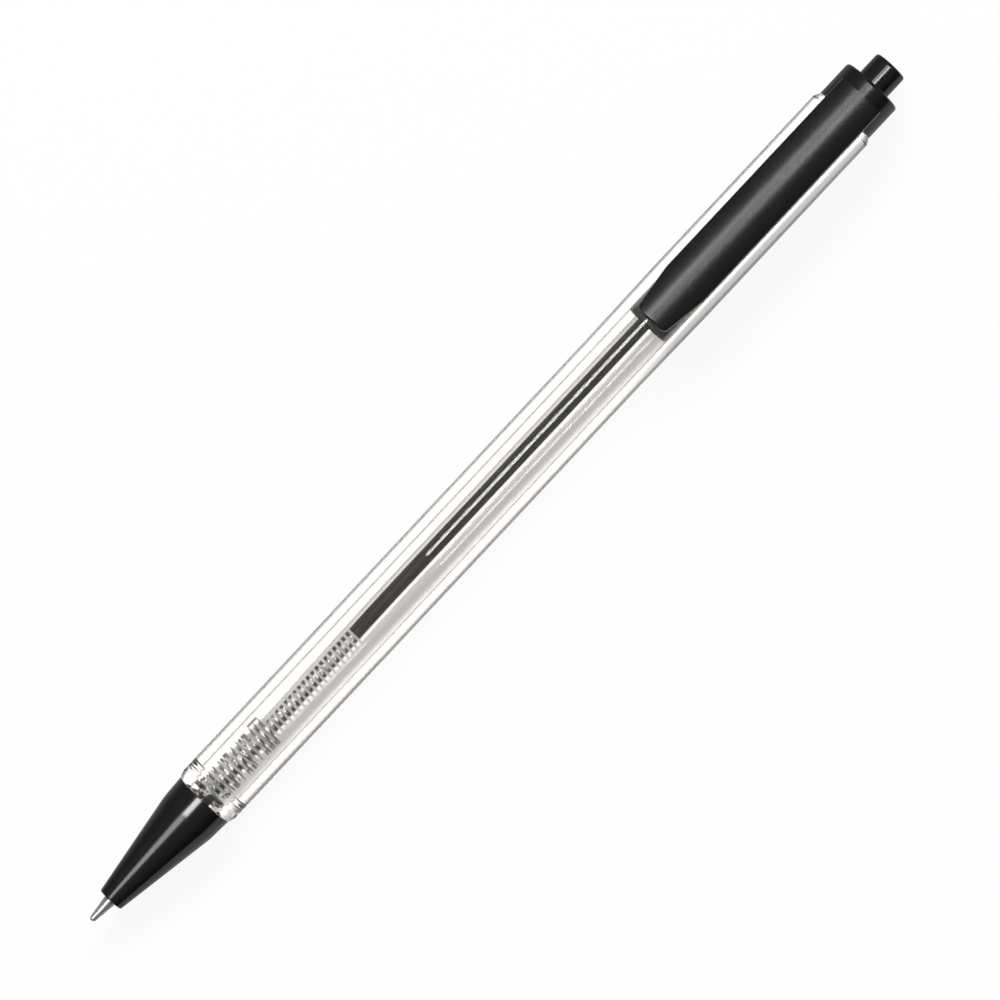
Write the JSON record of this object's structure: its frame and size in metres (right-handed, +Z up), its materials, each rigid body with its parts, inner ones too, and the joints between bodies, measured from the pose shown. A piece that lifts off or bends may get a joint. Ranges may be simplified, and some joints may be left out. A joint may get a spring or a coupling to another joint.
{
  "type": "pushbutton ballpoint pen",
  "caption": "Slim pushbutton ballpoint pen with a clear ring-grooved barrel, black nose cone, crown and clip, visible refill and return spring, and a rotary click mechanism.",
  "frame": {"origin": "on the surface the pen lies on, below the middle of its length and of its width", "axes": "+X along the pen from the writing tip to the push button, +Z up through the clip, +Y across"},
  "size_m": [0.1408, 0.0088, 0.0109],
  "materials": {
    "clear_plastic": "clear, colourless and polished",
    "gloss_black": "glossy black",
    "satin_black": "satin black",
    "inner_black": "dull black",
    "natural_plastic": "natural white",
    "spring_steel": "bright drawn wire",
    "refill_plastic": "clear",
    "black_ink": "wet black",
    "tip_metal": "bright turned metal",
    "ball_metal": "polished"
  },
  "bodies": {
    "housing": {"barrel": "clear_plastic", "nose_cone": "gloss_black", "clip_crown": "satin_black", "cam_sleeve": "inner_black", "return_spring": "spring_steel"},
    "button": {"push_button": "gloss_black", "cam_plunger": "natural_plastic"},
    "refill": {"refill_tube": "refill_plastic", "ink_column": "black_ink", "pen_tip": "tip_metal"},
    "rotor": {"cam_rotor": "natural_plastic"},
    "ball": {"writing_ball": "ball_metal"}
  },
  "joints": [
    {"name": "button_slide", "type": "slide", "parent": "housing", "child": "button", "axis": [1, 0, 0], "range_m": [-0.0008, 0.005]},
    {"name": "refill_slide", "type": "slide", "parent": "housing", "child": "refill", "axis": [1, 0, 0], "range_m": [-0.0008, 0.005], "deforming": ["return_spring"]},
    {"name": "rotor_turn", "type": "hinge", "parent": "refill", "child": "rotor", "pos_m": [0.0401, 0, 0.00439], "axis": [1, 0, 0], "continuous": true},
    {"name": "ball_roll", "type": "hinge", "parent": "refill", "child": "ball", "pos_m": [-0.07005, 0, 0.00439], "axis": [0, 1, 0], "continuous": true}
  ],
  "couplings": [
    {"joint": "refill_slide", "follows": "button_slide", "ratio": 1}
  ]
}
